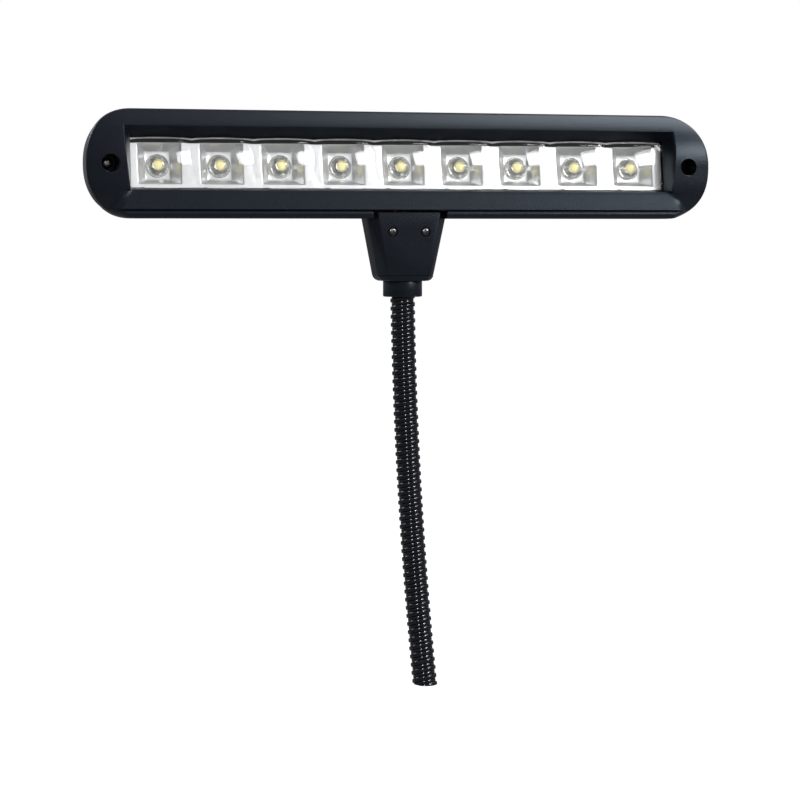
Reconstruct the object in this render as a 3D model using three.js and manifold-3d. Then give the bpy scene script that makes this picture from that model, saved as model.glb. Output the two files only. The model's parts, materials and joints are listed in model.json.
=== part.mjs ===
// Gooseneck LED picture light: a stadium-shaped bar head with nine LEDs in square funnel cups
// behind a clear lens strip, a tapered neck housing with a screwed cover, a collar, and a
// flexible gooseneck that ends in a flat plug.
//
// Units are millimetres, +Z is up. The origin is the centre of the gooseneck's flat lower end.
// The head's long axis lies along X and its face looks towards -Y.
// Head parts are drawn in head coordinates: x along the bar, y backwards (0 on the neck's axis),
// z up (0 at the middle of the bar), and the head group carries them to their place.

import * as THREE from 'three';
import { mergeVertices } from 'three/addons/utils/BufferGeometryUtils.js';
import Module from 'manifold-3d';

const wasm = await Module();
wasm.setup();

// ---------------------------------------------------------------- driving dimensions

const GAP = 0.3; // clearance between neighbouring pieces

// Head outline and section
const HEAD_HALF_LENGTH = 132.45;
const HEAD_HALF_HEIGHT = 21.9;
const END_RADIUS_X = 19.5; // semi-axis of the rounded ends along the bar
const END_POWER = 2.22; // the rounded ends are slightly fuller than an ellipse, which has 2
const BACK_Y = 12; // flat back of the rear housing
const BACK_ROUND = 7;
const WALL = 2.2;
const CROWN_RADIUS = 32; // the bezel's face is a cylinder along the bar
const CROWN_CENTRE_Y = 20;
const BEZEL_THICKNESS = 2.4;

// Window: a sloping pocket from the crown down to the lens
const LENS_TILT = THREE.MathUtils.degToRad(8.5); // the optics look slightly upwards
const LENS_FACE_Y = -5; // front of the lens plate at mid-height
const APERTURE_HALF_LENGTH = 113.9;
const APERTURE_TOP = 10.8;
const APERTURE_BOTTOM = -9.7;
const POCKET_FRONT_Y = -14;
const POCKET_TOP_FLARE = { x: 122.2, z: 21.8 }; // pocket corners at POCKET_FRONT_Y
const POCKET_BOTTOM_FLARE = { x: 115.3, z: -12 };
const FRAME_WALL = 1.7;

// Lower lip of the bezel: a ramp from the window out to an edge, a groove, and a rolled bead
const RAMP_START = { y: -10.15, z: -10.7 };
const LIP_EDGE = { y: -12.8, z: -17.8 };
const BEAD_CENTRE = { y: -9.3, z: -20.2 };
const BEAD_RADIUS = 1.7;

// Bezel screws in deep counterbores at both ends
const BEZEL_SCREW_X = 122.9;
const COUNTERBORE_RADIUS = 3.55;
const BEZEL_SCREW_SEAT_Y = -0.9;
const BEZEL_BOSS_RADIUS = 5;

// Optics
const LED_COUNT = 9;
const LED_PITCH = 25.4;
const CUP_OPENING = { x: 17.2, z: 16 };
const CUP_FLOOR = { x: 9.7, z: 11.4 };
const CUP_DEPTH = 5.3;
const CUP_WALL = 0.8;
const REFLECTOR_HALF_LENGTH = 114.2;
const REFLECTOR_BOTTOM = -9.7;
const REFLECTOR_TOP = 8.6;
const REFLECTOR_Y = -0.15; // front of the reflector strip at mid-height
const LENS_THICKNESS = 2.2;
const LENS_BULGE = 2.1;
const LENS_HALF_LENGTH = 115.6;
const LENS_HALF_HEIGHT = 11.4;
const BOARD = { halfLength: 112, halfHeight: 8.4, thickness: 1.2 };
const LED_FLANGE_RADIUS = 4.5;
const LED_DOME_RADIUS = 3.9;

// Neck housing below the bar: a taper with chamfered front cover and matching back
const NECK_TOP_Z = -18.9;
const NECK_BOTTOM_Z = -47.5;
const NECK_HALF_TOP = 17.6; // half-width at NECK_TOP_Z
const NECK_HALF_BOTTOM = 11.4;
const NECK_SIDE_Y = 5; // the straight side walls run from -NECK_SIDE_Y to NECK_SIDE_Y
const NECK_FACE_Y = 10.1; // front and back faces
const NECK_CHAMFER_X = 4.2;
const NECK_CHAMFER_Z = 5.1;
const COVER_SCREW = { x: 6.98, z: -27.2 };

// Collar and gooseneck
const COLLAR_RADIUS = 8.13;
const COLLAR_BORE = 5.45;
const COLLAR_TOP_Z = NECK_BOTTOM_Z - GAP;
const COLLAR_BOTTOM_Z = -54.1;
const COIL_RADIUS = 5.15;
const VALLEY_RADIUS = 4.62;
const COIL_PITCH = 3.36;
const COIL_BORE = 2.5;
const CABLE_RADIUS = 1.8;
const NECK_RISE = 159.7; // height of the collar's lower end above the mounting plane
const SEGMENTS = 9;
const MAX_BEND = THREE.MathUtils.degToRad(20); // each joint's travel to either side
const HALF_CORE_GAP = 0.15;

// The gooseneck leaves the collar almost straight down and leans out towards the front.
// t runs from 0 at the collar to 1 at the mounting plane.
const LEAN_SIDE = 9.25;
const LEAN_FRONT = 15.5;
const LEAN_HEADING = THREE.MathUtils.degToRad(16); // the lean's own heading about Z
const SIDE_SHARE_STRAIGHT = 0.27;

// ---------------------------------------------------------------- materials

const material = (color, roughness, metalness = 0, extra = {}) => () =>
  new THREE.MeshStandardMaterial({ color, roughness, metalness, ...extra });

const blackPlastic = material(0x1b1d21, 0.5);
const glossBlack = material(0x101114, 0.28);
const blackCoil = material(0x0e0f12, 0.25, 0.7);
const silverMirror = material(0xdfe2e3, 0.15, 0.9);
const clearLens = material(0xf4f8fa, 0.05, 0, { transparent: true, opacity: 0.35 });
const ledEpoxy = material(0xf5f0c8, 0.1, 0, { transparent: true, opacity: 0.6 });
const boardGreen = material(0x1d4a2c, 0.6);
const resistorBlack = material(0x131313, 0.5);
const blackScrew = material(0x15161a, 0.3, 0.8);
const steel = material(0xa9adb2, 0.35, 0.9);
const cableBlack = material(0x17181a, 0.7);
const leadRed = material(0xa51e1e, 0.6);
const leadBlack = material(0x1a1a1a, 0.6);

// ---------------------------------------------------------------- solids

// A closed geometry as a solid, with only positions left so that neighbours share vertices.
function solidOf(geometry) {
  const bare = geometry.clone();
  for (const name of Object.keys(bare.attributes)) if (name !== 'position') bare.deleteAttribute(name);
  const welded = mergeVertices(bare, 1e-4);
  return new wasm.Manifold(new wasm.Mesh({
    numProp: 3,
    vertProperties: new Float32Array(welded.attributes.position.array),
    triVerts: new Uint32Array(welded.index.array),
  }));
}

function geometryOf(solid) {
  const mesh = solid.getMesh();
  const geometry = new THREE.BufferGeometry();
  geometry.setAttribute('position', new THREE.BufferAttribute(new Float32Array(mesh.vertProperties), 3));
  geometry.setIndex(new THREE.BufferAttribute(new Uint32Array(mesh.triVerts), 1));
  geometry.computeVertexNormals();
  return geometry;
}

const shapeOf = (points) => new THREE.Shape(points.map(([a, b]) => new THREE.Vector2(a, b)));

// An outline in x and z, extruded from yBack forwards to yFront.
function prismXZ(points, yFront, yBack, bevel = 0) {
  const geometry = new THREE.ExtrudeGeometry(shapeOf(points), {
    depth: yBack - yFront - 2 * bevel, steps: 1, bevelEnabled: bevel > 0,
    bevelThickness: bevel, bevelSize: bevel, bevelOffset: -bevel, bevelSegments: 4,
  });
  geometry.rotateX(Math.PI / 2);
  geometry.translate(0, yBack - bevel, 0);
  return solidOf(geometry);
}

// A profile in y and z, extruded along x from -half to half.
function prismYZ(points, half) {
  const options = { depth: 2 * half, steps: 1, bevelEnabled: false };
  const geometry = new THREE.ExtrudeGeometry(shapeOf(points), options);
  geometry.applyMatrix4(new THREE.Matrix4().makeBasis(
    new THREE.Vector3(0, 1, 0), new THREE.Vector3(0, 0, 1), new THREE.Vector3(1, 0, 0)));
  geometry.translate(-half, 0, 0);
  return solidOf(geometry);
}

// A six-sided block from two quads. Each quad is four [x, y, z] corners in the same turning order,
// anticlockwise as seen from the front quad's outer side.
function blockBetween(front, back) {
  const positions = new Float32Array([...front, ...back].flat());
  const geometry = new THREE.BufferGeometry();
  geometry.setAttribute('position', new THREE.BufferAttribute(positions, 3));
  const faces = [[0, 1, 2, 3], [7, 6, 5, 4]];
  for (let i = 0; i < 4; i += 1) faces.push([(i + 1) % 4, i, i + 4, ((i + 1) % 4) + 4]);
  geometry.setIndex(faces.flatMap(([a, b, c, d]) => [a, b, c, a, c, d]));
  return solidOf(geometry);
}

// The corners of a symmetric trapezoid at one depth, anticlockwise seen from the front.
const quadAt = (y, halfTop, zTop, halfBottom, zBottom) => [
  [-halfBottom, y, zBottom], [halfBottom, y, zBottom], [halfTop, y, zTop], [-halfTop, y, zTop]];

function cylinderY(radius, yFront, yBack, x = 0, z = 0, sides = 24) {
  const geometry = new THREE.CylinderGeometry(radius, radius, yBack - yFront, sides);
  geometry.translate(x, (yFront + yBack) / 2, z);
  return solidOf(geometry);
}

function cylinderZ(radius, zLow, zHigh, x = 0, y = 0, sides = 24) {
  const geometry = new THREE.CylinderGeometry(radius, radius, zHigh - zLow, sides);
  geometry.rotateX(Math.PI / 2);
  geometry.translate(x, y, (zLow + zHigh) / 2);
  return solidOf(geometry);
}

// A closed ring or solid of revolution about z from [radius, z] points.
function latheZ(points, sides) {
  const geometry = new THREE.LatheGeometry(points.map(([r, z]) => new THREE.Vector2(r, z)), sides);
  geometry.rotateX(Math.PI / 2);
  return geometry;
}

// ---------------------------------------------------------------- head shapes

// Stadium with superelliptical ends, pulled in by inset.
function headOutline(inset = 0, steps = 14) {
  const fuller = (value) => Math.sign(value) * Math.abs(value) ** (2 / END_POWER);
  const a = END_RADIUS_X - inset;
  const b = HEAD_HALF_HEIGHT - inset;
  const centre = HEAD_HALF_LENGTH - END_RADIUS_X;
  const points = [];
  for (const side of [1, -1]) {
    for (let i = 0; i <= steps; i += 1) {
      const angle = side * (-Math.PI / 2 + (Math.PI * i) / steps);
      points.push([side * (centre + a * fuller(Math.cos(angle))), b * fuller(Math.sin(angle))]);
    }
  }
  return points;
}

function crown(radius, sides) {
  const geometry = new THREE.CylinderGeometry(radius, radius, 2 * HEAD_HALF_LENGTH + 20, sides);
  geometry.rotateZ(Math.PI / 2);
  geometry.translate(0, CROWN_CENTRE_Y, 0);
  return solidOf(geometry);
}

const crownY = (radius, z) => CROWN_CENTRE_Y - Math.sqrt(radius * radius - z * z);
const lensPlaneY = (z) => LENS_FACE_Y + z * Math.tan(LENS_TILT);

const headBody = prismXZ(headOutline(), -40, BACK_Y, BACK_ROUND);

function pocket(grow) {
  const x = APERTURE_HALF_LENGTH + grow;
  const top = APERTURE_TOP + grow;
  const bottom = APERTURE_BOTTOM - grow;
  const reach = grow > 0 ? 0 : 3; // the cutting tool passes through the frame's back
  const front = [
    [-POCKET_BOTTOM_FLARE.x - grow, POCKET_FRONT_Y, POCKET_BOTTOM_FLARE.z - grow],
    [POCKET_BOTTOM_FLARE.x + grow, POCKET_FRONT_Y, POCKET_BOTTOM_FLARE.z - grow],
    [POCKET_TOP_FLARE.x + grow, POCKET_FRONT_Y, POCKET_TOP_FLARE.z + grow],
    [-POCKET_TOP_FLARE.x - grow, POCKET_FRONT_Y, POCKET_TOP_FLARE.z + grow]];
  const atLens = [
    [-x, lensPlaneY(bottom), bottom], [x, lensPlaneY(bottom), bottom],
    [x, lensPlaneY(top), top], [-x, lensPlaneY(top), top]];
  const funnel = blockBetween(front, atLens);
  if (!reach) return funnel;
  return funnel.add(blockBetween(
    atLens.map(([px, py, pz]) => [px, py - 0.05, pz]), atLens.map(([px, py, pz]) => [px, py + reach, pz])));
}

// The lip's section: ramp, edge, groove and bead outside, and the crown's own radius inside.
function lipSection() {
  const points = [[RAMP_START.y, RAMP_START.z], [LIP_EDGE.y, LIP_EDGE.z],
    [LIP_EDGE.y - 0.1, LIP_EDGE.z - 0.35], [LIP_EDGE.y + 0.4, LIP_EDGE.z - 0.65], [-10.6, -18.5]];
  for (let i = 0; i <= 6; i += 1) {
    const angle = THREE.MathUtils.degToRad(130 + (140 * i) / 6);
    points.push([
      BEAD_CENTRE.y + BEAD_RADIUS * Math.cos(angle), BEAD_CENTRE.z + BEAD_RADIUS * Math.sin(angle)]);
  }
  const inner = CROWN_RADIUS - BEZEL_THICKNESS + 0.1;
  for (const z of [-21.9, -20, -18, -16, -14, -12, -10.9]) points.push([crownY(inner, z), z]);
  return points;
}

// The lip seen from the front: its ends flare outwards towards the bottom.
const lipPlan = () => {
  const right = [[114.3, -9], [114.3, -10.8], [115.3, -14.4], [116.6, -16.3], [117.8, -17.6],
    [119.4, -18.5], [121.5, -19.6], [124.5, -23]];
  return [...right.map(([x, z]) => [x, z]), ...right.reverse().map(([x, z]) => [-x, z])].reverse();
};

function makeBezel() {
  const skin = headBody.intersect(crown(CROWN_RADIUS, 80));
  const lip = prismYZ(lipSection(), 126).intersect(prismXZ(lipPlan(), -20, 10)).intersect(headBody);
  const frame = pocket(FRAME_WALL).intersect(skin);
  let bezel = skin.add(lip).subtract(crown(CROWN_RADIUS - BEZEL_THICKNESS, 60)).add(frame);
  for (const x of [-BEZEL_SCREW_X, BEZEL_SCREW_X]) {
    bezel = bezel.add(cylinderY(BEZEL_BOSS_RADIUS, -11, BEZEL_SCREW_SEAT_Y + 1.5, x));
  }
  bezel = bezel.subtract(pocket(0));
  for (const x of [-BEZEL_SCREW_X, BEZEL_SCREW_X]) {
    bezel = bezel.subtract(cylinderY(COUNTERBORE_RADIUS, -20, BEZEL_SCREW_SEAT_Y, x));
    bezel = bezel.subtract(cylinderY(1.7, -20, 5, x, 0, 16));
  }
  const half = NECK_HALF_TOP + GAP;
  const notch = blockBetween(
    quadAt(-12, half, NECK_TOP_Z + GAP, half - 0.8, -25), quadAt(6, half, NECK_TOP_Z + GAP, half - 0.8, -25));
  return bezel.subtract(notch);
}

const neckHalfAt = (z) => NECK_HALF_TOP
  + ((NECK_TOP_Z - z) * (NECK_HALF_BOTTOM - NECK_HALF_TOP)) / (NECK_TOP_Z - NECK_BOTTOM_Z);

// One half of the tapered neck housing, in front (side -1) or behind (side 1) of the side walls.
function neckBulge(side, inset) {
  const top = NECK_TOP_Z;
  const bottom = NECK_BOTTOM_Z + inset;
  const near = (NECK_SIDE_Y + GAP * (side < 0 ? 1 : 0)) * side;
  const far = (NECK_FACE_Y - inset) * side;
  const full = quadAt(near, neckHalfAt(top) - inset, top, neckHalfAt(bottom) - inset, bottom);
  const small = quadAt(far, neckHalfAt(top) - NECK_CHAMFER_X - inset * 0.7, top,
    neckHalfAt(bottom + NECK_CHAMFER_Z) - NECK_CHAMFER_X - inset * 0.7, bottom + NECK_CHAMFER_Z);
  return side < 0 ? blockBetween(small, full) : blockBetween(full, small);
}

function neckSides(inset, yFront, yBack) {
  const bottom = NECK_BOTTOM_Z + inset;
  const corners = [neckHalfAt(NECK_TOP_Z) - inset, NECK_TOP_Z, neckHalfAt(bottom) - inset, bottom];
  return blockBetween(quadAt(yFront, ...corners), quadAt(yBack, ...corners));
}

function makeRearHousing() {
  const rim = CROWN_RADIUS - BEZEL_THICKNESS - GAP;
  const socket = neckSides(0, -NECK_SIDE_Y, NECK_SIDE_Y + 0.1).add(neckBulge(1, 0));
  const cavity = prismXZ(headOutline(WALL, 12), -40, BACK_Y - WALL, BACK_ROUND - WALL);
  const socketCavity = neckSides(2, -20, NECK_SIDE_Y + 0.1).add(neckBulge(1, 2));
  // the neck's inside runs on upwards into the bar
  const throat = blockBetween(quadAt(-5.5, 9, -15, 9, -24), quadAt(6.5, 9, -15, 9, -24));
  let housing = headBody.intersect(crown(rim, 60)).subtract(cavity);
  housing = housing.add(socket.subtract(socketCavity)).subtract(throat);
  for (const x of [-BEZEL_SCREW_X, BEZEL_SCREW_X]) {
    const top = BEZEL_SCREW_SEAT_Y + 1.5 + GAP;
    housing = housing.add(cylinderY(4, top, BACK_Y - 1, x, 0, 20));
    housing = housing.subtract(cylinderY(1.7, top - 1, BACK_Y - 2.5, x, 0, 16));
  }
  for (const x of [-COVER_SCREW.x, COVER_SCREW.x]) {
    housing = housing.add(cylinderY(2.6, -4, NECK_FACE_Y - 1, x, COVER_SCREW.z, 16));
    housing = housing.subtract(cylinderY(1.2, -6, NECK_FACE_Y - 3, x, COVER_SCREW.z, 12));
  }
  return housing.subtract(cylinderZ(4.3, NECK_BOTTOM_Z - 1, NECK_BOTTOM_Z + 3));
}

function makeNeckCover() {
  const inner = neckBulge(-1, 2).add(neckSides(2, -NECK_SIDE_Y - GAP - 0.1, -NECK_SIDE_Y + 1));
  let cover = neckBulge(-1, 0).subtract(inner);
  for (const x of [-COVER_SCREW.x, COVER_SCREW.x]) {
    cover = cover.add(cylinderY(2.6, -NECK_FACE_Y + 1, -4.4, x, COVER_SCREW.z, 16));
    cover = cover.subtract(cylinderY(2.1, -12, -NECK_FACE_Y + 0.9, x, COVER_SCREW.z, 20));
    cover = cover.subtract(cylinderY(1.3, -12, 0, x, COVER_SCREW.z, 12));
  }
  return cover;
}

// ---------------------------------------------------------------- fasteners

// A pan-head screw along +y: the top of its head is at y = 0 and it has a cross recess.
function makeScrew(headRadius, headHeight, shankRadius, length) {
  const profile = [[0, 0], [headRadius * 0.55, -0.02], [headRadius * 0.85, -headHeight * 0.25],
    [headRadius, -headHeight * 0.55], [headRadius, -headHeight], [shankRadius, -headHeight],
    [shankRadius, -length + shankRadius], [0, -length]];
  const body = latheZ([...profile].reverse(), 20);
  body.rotateX(Math.PI / 2);
  let screw = solidOf(body);
  if (screw.volume() < 0) throw new Error('screw profile is inside out');
  const arm = headRadius * 0.52;
  const slot = headRadius * 0.15;
  for (const [x, z] of [[arm, slot], [slot, arm]]) {
    const shallow = [[-x, -1, -z], [x, -1, -z], [x, -1, z], [-x, -1, z]];
    const deep = shallow.map(([px, , pz]) => [px * 0.55, headHeight * 0.75, pz * 0.55]);
    screw = screw.subtract(blockBetween(shallow, deep));
  }
  return screw;
}

// ---------------------------------------------------------------- optics

// Drawn about the middle of the reflector's front plane, then tilted as one.
const ledX = (index) => (index - (LED_COUNT - 1) / 2) * LED_PITCH;

function makeReflector() {
  const rect = (y, halfX, halfZ, x) => [
    [x - halfX, y, -halfZ], [x + halfX, y, -halfZ], [x + halfX, y, halfZ], [x - halfX, y, halfZ]];
  const border = (y) => quadAt(
    y, REFLECTOR_HALF_LENGTH, REFLECTOR_TOP, REFLECTOR_HALF_LENGTH, REFLECTOR_BOTTOM);
  let strip = blockBetween(border(0), border(1));
  for (let i = 0; i < LED_COUNT; i += 1) {
    const cup = (wall, yFront, yBack) => {
      const at = (y) => {
        const share = y / CUP_DEPTH;
        return [(CUP_OPENING.x + (CUP_FLOOR.x - CUP_OPENING.x) * share) / 2 + wall,
          (CUP_OPENING.z + (CUP_FLOOR.z - CUP_OPENING.z) * share) / 2 + wall];
      };
      return blockBetween(rect(yFront, ...at(yFront), ledX(i)), rect(yBack, ...at(yBack), ledX(i)));
    };
    strip = strip.add(cup(CUP_WALL, 0.5, CUP_DEPTH)).subtract(cup(0, -1, CUP_DEPTH + 1));
  }
  return strip;
}

function makeLens() {
  const front = [];
  const steps = 6;
  for (let i = 0; i < LED_COUNT; i += 1) {
    for (let k = 0; k < steps; k += 1) {
      const u = (2 * k) / steps - 1;
      front.push([ledX(i) + (u * LED_PITCH) / 2, -LENS_BULGE * (1 - u * u)]);
    }
  }
  const half = LENS_HALF_LENGTH;
  const plan = [[-half, 0], ...front, [ledX(LED_COUNT - 1) + LED_PITCH / 2, 0], [half, 0],
    [half, LENS_THICKNESS], [-half, LENS_THICKNESS]];
  const geometry = new THREE.ExtrudeGeometry(shapeOf(plan), {
    depth: 2 * (APERTURE_TOP - 1.2), steps: 1, bevelEnabled: false });
  geometry.translate(0, 0, -(APERTURE_TOP - 1.2));
  const plate = blockBetween(
    quadAt(0, half, LENS_HALF_HEIGHT, half, -LENS_HALF_HEIGHT),
    quadAt(LENS_THICKNESS, half, LENS_HALF_HEIGHT, half, -LENS_HALF_HEIGHT));
  return solidOf(geometry).add(plate);
}

// Straw-hat LED: a flange on the board and a dome over it.
function ledGeometry() {
  const profile = [[0, 0], [LED_FLANGE_RADIUS, 0], [LED_FLANGE_RADIUS, 0.8], [LED_DOME_RADIUS, 0.8],
    [LED_DOME_RADIUS, 1.6], [LED_DOME_RADIUS * 0.9, 2.9],
    [LED_DOME_RADIUS * 0.62, 4], [LED_DOME_RADIUS * 0.3, 4.5],
    [0, 4.65]];
  const geometry = latheZ(profile, 18);
  geometry.rotateX(Math.PI / 2);
  return geometry;
}

// ---------------------------------------------------------------- gooseneck

// Centre of the gooseneck at t, in part coordinates.
const lean = (t) => {
  const side = LEAN_SIDE * (SIDE_SHARE_STRAIGHT * t + (1 - SIDE_SHARE_STRAIGHT) * t * t);
  const front = LEAN_FRONT * t * t;
  return [side * Math.cos(LEAN_HEADING) - front * Math.sin(LEAN_HEADING),
    -side * Math.sin(LEAN_HEADING) - front * Math.cos(LEAN_HEADING)];
};
const neckPoint = (t) => {
  const [x, y] = lean(t);
  const [endX, endY] = lean(1);
  return new THREE.Vector3(x - endX, y - endY, NECK_RISE * (1 - t));
};
const HEAD_POSITION = neckPoint(0).add(new THREE.Vector3(0, 0, -COLLAR_BOTTOM_Z));

// A ringed tube from z = low to z = high. Cone ends leave room for each joint to bend.
function ringedTube(low, high, boreRadius, coneLow, coneHigh) {
  const cone = (radius) => HALF_CORE_GAP + radius * Math.tan(MAX_BEND / 2);
  const start = low + (coneLow ? cone(COIL_RADIUS) : 0);
  const end = high - (coneHigh ? cone(COIL_RADIUS) : 0);
  const outer = [];
  const rings = Math.max(1, Math.round((end - start) / COIL_PITCH));
  const pitch = (end - start) / rings;
  for (let i = 0; i < rings; i += 1) {
    const z = start + i * pitch;
    outer.push([COIL_RADIUS, z], [COIL_RADIUS, z + pitch * 0.46]);
    if (i < rings - 1) outer.push([VALLEY_RADIUS, z + pitch * 0.54], [VALLEY_RADIUS, z + pitch * 0.92]);
  }
  outer.push([COIL_RADIUS, end]);
  const inner = [
    [boreRadius, high - (coneHigh ? cone(boreRadius) : 0)],
    [boreRadius, low + (coneLow ? cone(boreRadius) : 0)]];
  return latheZ([...outer, ...inner, outer[0]], 14);
}

function placeAlong(mesh, from, to) {
  mesh.position.copy(from);
  mesh.quaternion.setFromUnitVectors(new THREE.Vector3(0, 0, 1), to.clone().sub(from).normalize());
  return mesh;
}

// ---------------------------------------------------------------- assembly

const group = new THREE.Group();
const head = new THREE.Group();
head.position.copy(HEAD_POSITION);
group.add(head);
const optics = new THREE.Group();
optics.position.set(0, REFLECTOR_Y, 0);
optics.rotation.x = -LENS_TILT;
head.add(optics);

function addMesh(parent, name, geometry, makeMaterial) {
  const mesh = new THREE.Mesh(geometry, makeMaterial());
  mesh.name = name;
  parent.add(mesh);
  return mesh;
}

function buildHead() {
  addMesh(head, 'front_bezel', geometryOf(makeBezel()), blackPlastic);
  addMesh(head, 'rear_housing', geometryOf(makeRearHousing()), blackPlastic);
  addMesh(head, 'neck_cover', geometryOf(makeNeckCover()), blackPlastic);
  const sides = [['left', -1], ['right', 1]];
  for (const [label, side] of sides) {
    const bezelScrew = addMesh(head, `bezel_screw_${label}`,
      geometryOf(makeScrew(2.35, 2.0, 1.35, 9)), blackScrew);
    bezelScrew.position.set(side * BEZEL_SCREW_X, BEZEL_SCREW_SEAT_Y - 2.0 - 0.02, 0);
    const coverScrew = addMesh(head, `cover_screw_${label}`,
      geometryOf(makeScrew(1.75, 1.4, 0.9, 10)), blackScrew);
    coverScrew.position.set(side * COVER_SCREW.x, -NECK_FACE_Y + 0.9 - 1.4 - 0.02, COVER_SCREW.z);
  }
}

function buildOptics() {
  addMesh(optics, 'reflector_strip', geometryOf(makeReflector()), silverMirror);
  const lens = addMesh(optics, 'lens_cover', geometryOf(makeLens()), clearLens);
  lens.position.y = (LENS_FACE_Y - REFLECTOR_Y) * Math.cos(LENS_TILT) + GAP;
  const board = addMesh(optics, 'led_board',
    new THREE.BoxGeometry(2 * BOARD.halfLength, BOARD.thickness, 2 * BOARD.halfHeight), boardGreen);
  const boardFront = CUP_DEPTH + GAP;
  board.position.y = boardFront + BOARD.thickness / 2;
  for (let i = 0; i < LED_COUNT; i += 1) {
    const led = addMesh(optics, `led_${i + 1}`, ledGeometry(), ledEpoxy);
    led.position.set(ledX(i), boardFront - 0.02, 0);
  }
  for (let i = 0; i < 3; i += 1) {
    const resistor = addMesh(optics, `resistor_${i + 1}`, new THREE.BoxGeometry(3.2, 0.6, 1.6), resistorBlack);
    resistor.position.set((i - 1) * 2.5 * LED_PITCH, boardFront + BOARD.thickness + 0.32, 2);
  }
}

function sweep(points, radius, sides, steps) {
  const circle = new THREE.Shape();
  circle.absarc(0, 0, radius, 0, 2 * Math.PI, false);
  const path = new THREE.CatmullRomCurve3(points.map(([x, y, z]) => new THREE.Vector3(x, y, z)));
  return new THREE.ExtrudeGeometry(
    circle, { steps, curveSegments: sides / 2, bevelEnabled: false, extrudePath: path });
}

function buildNeckFittings() {
  addMesh(head, 'neck_collar', latheZ([
    [COLLAR_BORE, COLLAR_BOTTOM_Z], [COLLAR_RADIUS - 0.4, COLLAR_BOTTOM_Z],
    [COLLAR_RADIUS, COLLAR_BOTTOM_Z + 0.4], [COLLAR_RADIUS, COLLAR_TOP_Z], [4.3, COLLAR_TOP_Z],
    [4.3, -49.9], [COLLAR_BORE, -49.9], [COLLAR_BORE, COLLAR_BOTTOM_Z],
  ], 32), glossBlack);
  addMesh(head, 'neck_nipple', latheZ([
    [2.3, -49.6], [4, -49.6], [4, -41], [2.3, -41], [2.3, -49.6]], 20), steel);
  const hexagon = new THREE.CylinderGeometry(5.7, 5.7, 3, 6);
  hexagon.rotateY(Math.PI / 6);
  hexagon.rotateX(Math.PI / 2);
  hexagon.translate(0, 0, -43.7);
  const nut = solidOf(hexagon).subtract(cylinderZ(4.3, -46, -41, 0, 0, 20));
  addMesh(head, 'neck_nut', geometryOf(nut), steel);
  const clamp = blockBetween(quadAt(-3, 5, -32, 5, -37), quadAt(3, 5, -32, 5, -37))
    .subtract(cylinderZ(CABLE_RADIUS + 0.3, -40, -30, 0, 0, 16));
  addMesh(head, 'cable_clamp', geometryOf(clamp), glossBlack);
  const cable = new THREE.CylinderGeometry(CABLE_RADIUS, CABLE_RADIUS, 21, 12);
  cable.rotateX(Math.PI / 2);
  cable.translate(0, 0, -41);
  addMesh(head, 'cable_head', cable, cableBlack);
  for (const [name, side, look] of [['lead_positive', -1, leadRed], ['lead_negative', 1, leadBlack]]) {
    addMesh(head, name, sweep([
      [side * 0.9, 0, -30.2], [side * 1.1, 0.3, -26], [side * 2, 3.2, -20], [side * 2.6, 6.5, -12],
      [side * 3, 7.6, -6]], 0.6, 8, 12), look);
  }
}

function buildGooseneck() {
  const joints = [];
  for (let k = 0; k <= SEGMENTS; k += 1) joints.push(neckPoint(1 - k / SEGMENTS));
  for (let k = 0; k < SEGMENTS; k += 1) {
    const from = joints[k];
    const to = joints[k + 1];
    const length = from.distanceTo(to);
    const first = k === 0;
    const last = k === SEGMENTS - 1;
    const low = first ? -3 : 0;
    const high = last ? length + 3.7 : length;
    const name = `neck_segment_${k + 1}`;
    const coneGap = HALF_CORE_GAP + CABLE_RADIUS * Math.tan(MAX_BEND / 2);
    const tube = ringedTube(low, high, COIL_BORE, !first, !last);
    const cableLow = first ? 9 : coneGap;
    const cableHigh = last ? length + 2.2 : length - coneGap;
    const cable = new THREE.CylinderGeometry(CABLE_RADIUS, CABLE_RADIUS, cableHigh - cableLow, 12);
    cable.rotateX(Math.PI / 2);
    cable.translate(0, 0, (cableLow + cableHigh) / 2);
    placeAlong(addMesh(group, `cable_segment_${k + 1}`, cable, cableBlack), from, to);
    if (!first) {
      placeAlong(addMesh(group, name, tube, blackCoil), from, to);
      continue;
    }
    // the lowest segment and its plug are cut level by the mounting plane
    const turn = new THREE.Matrix4().makeRotationFromQuaternion(
      new THREE.Quaternion().setFromUnitVectors(new THREE.Vector3(0, 0, 1), to.clone().sub(from).normalize()));
    const below = cylinderZ(20, -20, 0, 0, 0, 8);
    const plugBore = new THREE.CylinderGeometry(3.6, 3.6, 12, 16);
    plugBore.rotateX(Math.PI / 2);
    plugBore.translate(0, 0, 1);
    const plug = new THREE.CylinderGeometry(3.3, 3.3, 11, 16);
    plug.rotateX(Math.PI / 2);
    plug.translate(0, 0, 1);
    for (const geometry of [tube, plugBore, plug]) geometry.applyMatrix4(turn);
    addMesh(group, name, geometryOf(solidOf(tube).subtract(solidOf(plugBore)).subtract(below)), blackCoil);
    addMesh(group, 'neck_end_plug', geometryOf(solidOf(plug).subtract(below)), steel);
  }
}

buildHead();
buildOptics();
buildNeckFittings();
buildGooseneck();

export default group;
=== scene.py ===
"""Gooseneck LED picture light on a pale floor.

Shapes are drawn in millimetres and carried to the frame in metres. Head coordinates: x along the
bar, y backwards (0 on the neck's axis), z up (0 at the middle of the bar). Optics coordinates are
the same, tilted upwards about x.
"""
import json
import math

import bmesh
import bpy
import numpy as np
from mathutils import Matrix, Vector

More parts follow.
